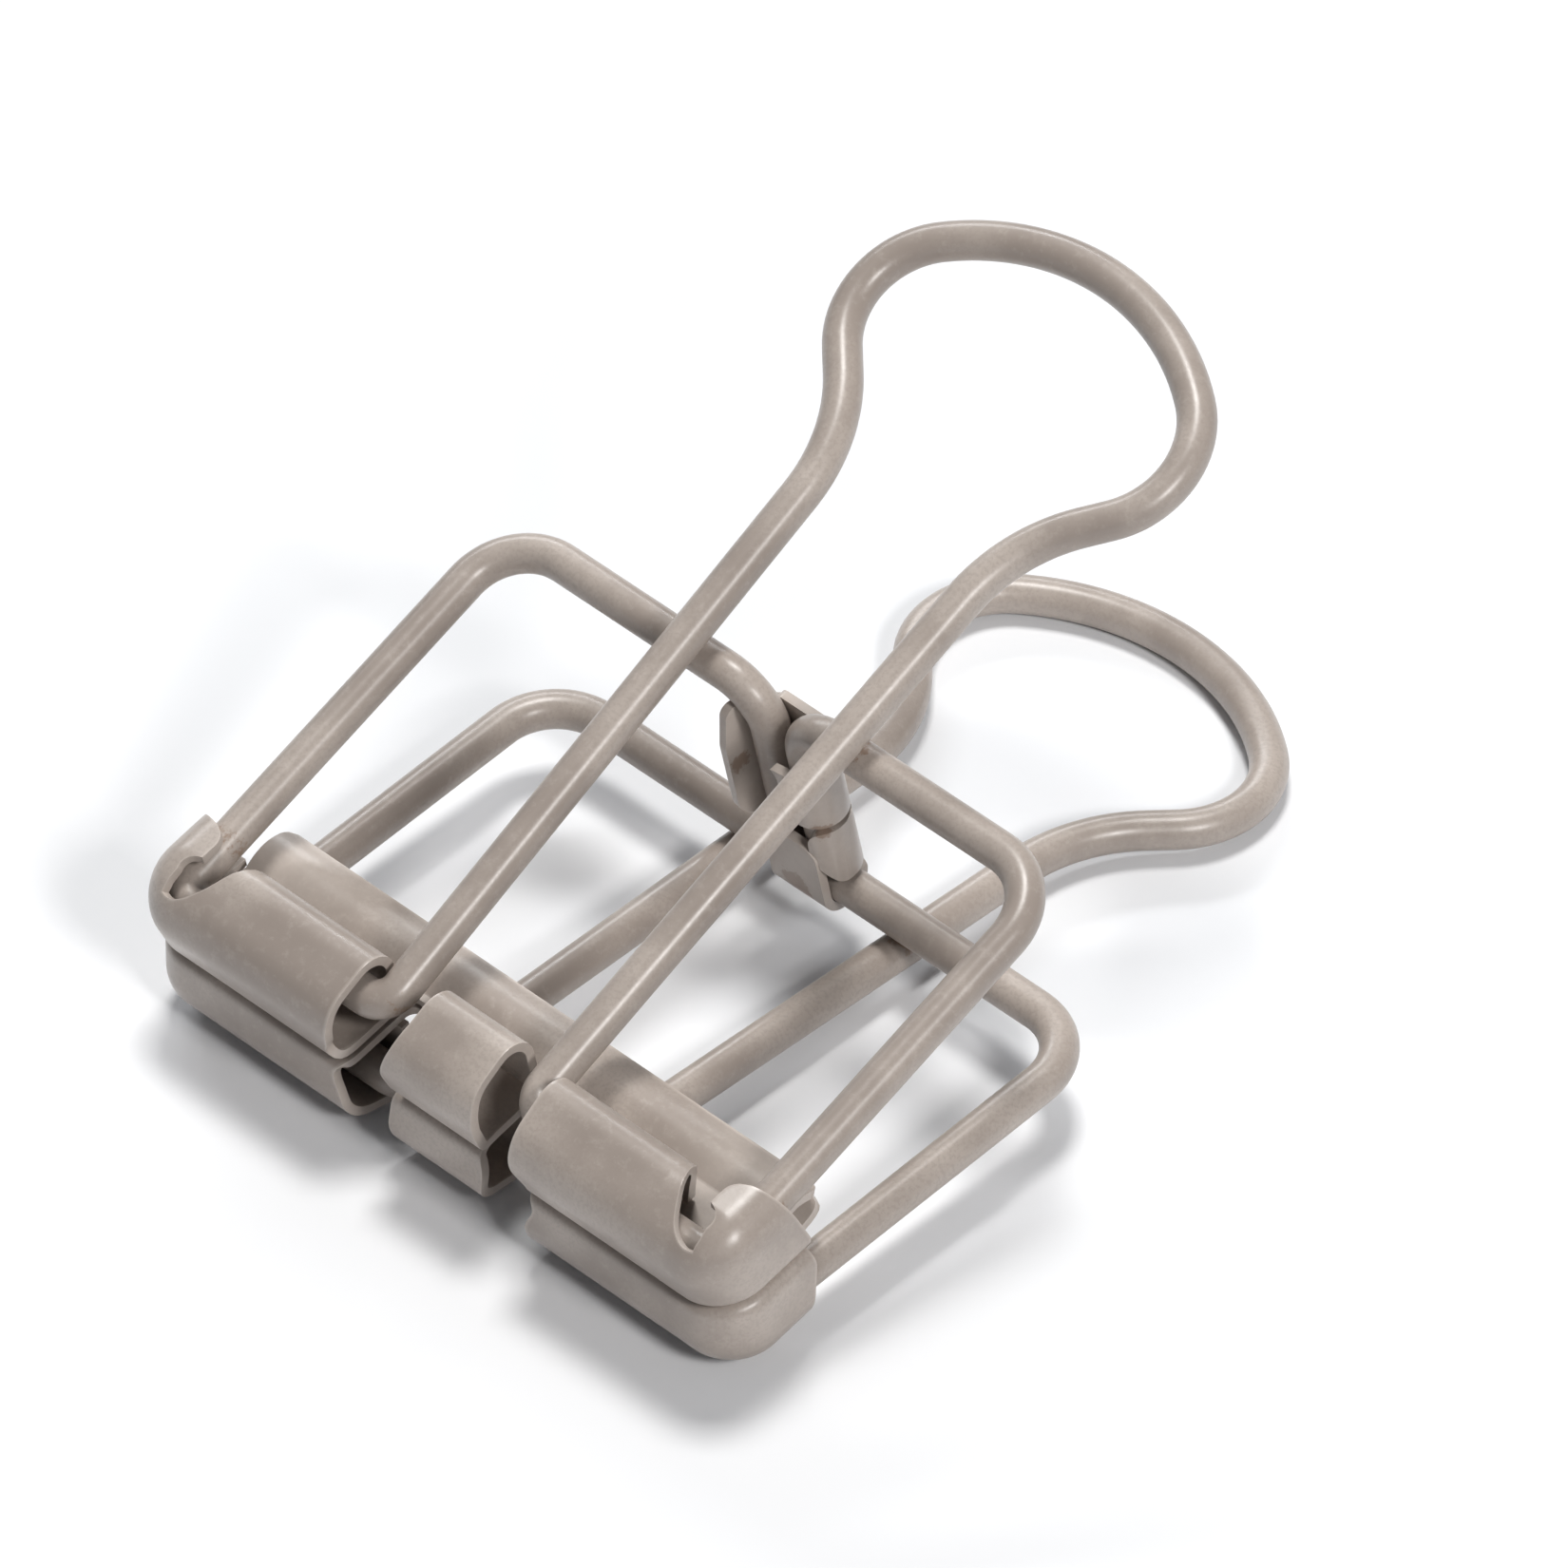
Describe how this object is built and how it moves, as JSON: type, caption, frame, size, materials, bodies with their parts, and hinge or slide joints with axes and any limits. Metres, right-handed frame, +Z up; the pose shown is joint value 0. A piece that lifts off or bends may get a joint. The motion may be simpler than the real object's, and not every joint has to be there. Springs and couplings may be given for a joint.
{
  "type": "binder clip",
  "caption": "Wire-frame binder clip: sprung wire frames hinged at a sheet bracket, jaws with rolled sleeves, and looped wire handles that swing in them.",
  "frame": {"origin": "middle of the footprint on the floor, under the lowest point of the clip as it lies on its lower handle", "axes": "+X to the right across the jaws, +Y from the jaws back towards the handle loops, +Z up"},
  "size_m": [0.032, 0.0442, 0.0245],
  "materials": {
    "wire_paint": "warm grey-brown satin paint on steel wire",
    "sheet_paint": "warm grey-brown satin paint on folded steel sheet"
  },
  "bodies": {
    "lower_frame": {"wire_lower": "wire_paint", "jaw_lower": "sheet_paint"},
    "spine": {"bracket": "sheet_paint", "stub_left": "wire_paint", "stub_right": "wire_paint"},
    "upper_frame": {"wire_upper_left": "wire_paint", "wire_upper_right": "wire_paint", "jaw_upper": "sheet_paint"},
    "upper_handle": {"handle_upper": "wire_paint"},
    "lower_handle": {"handle_lower": "wire_paint"}
  },
  "joints": [
    {"name": "spine_lower_hinge", "type": "hinge", "parent": "lower_frame", "child": "spine", "pos_m": [0, 0.00037, 0.00328], "axis": [-1, 0, 0], "range_deg": [0, 20], "stiffness_Nm_per_rad": 0.02, "springref_deg": -5.73},
    {"name": "spine_upper_hinge", "type": "hinge", "parent": "spine", "child": "upper_frame", "pos_m": [0, -0.00166, 0.01317], "axis": [-1, 0, 0], "range_deg": [0, 20], "stiffness_Nm_per_rad": 0.02, "springref_deg": -5.73},
    {"name": "upper_handle_hinge", "type": "hinge", "parent": "upper_frame", "child": "upper_handle", "pos_m": [0, -0.01966, 0.00687], "axis": [1, 0, 0], "range_deg": [0, 165]},
    {"name": "lower_handle_hinge", "type": "hinge", "parent": "lower_frame", "child": "lower_handle", "pos_m": [0, -0.01866, 0.00197], "axis": [-1, 0, 0], "range_deg": [0, 165]}
  ],
  "couplings": [
    {"joint": "spine_upper_hinge", "follows": "spine_lower_hinge", "ratio": 1}
  ]
}
